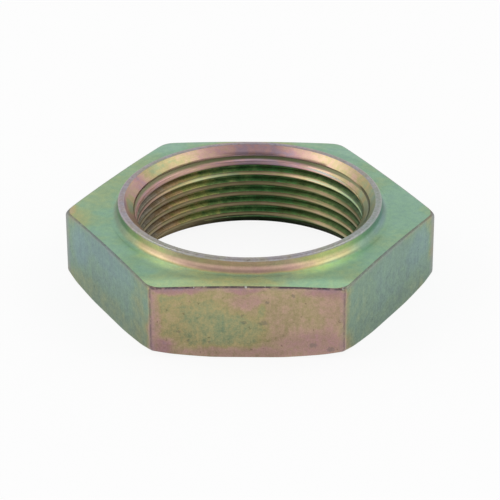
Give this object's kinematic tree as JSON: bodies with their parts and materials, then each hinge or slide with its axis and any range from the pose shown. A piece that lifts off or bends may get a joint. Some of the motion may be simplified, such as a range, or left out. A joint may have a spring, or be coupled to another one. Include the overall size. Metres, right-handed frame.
{
  "type": "hex nut",
  "caption": "Thin plated steel hexagon lock nut with a left-hand fine thread, countersunk bore and a short turned collar.",
  "frame": {"origin": "centre of the bore on the flat bearing face", "axes": "+Z along the bore and out of the collar; +X towards a corner of the hexagon; -Y and +Y square to a pair of flats"},
  "size_m": [0.0468, 0.0406, 0.0115],
  "materials": {
    "nut_body": "yellow-passivated zinc plating, satin, with green, gold and rose tints"
  },
  "bodies": {
    "root": {"nut_body": "nut_body"}
  },
  "joints": []
}
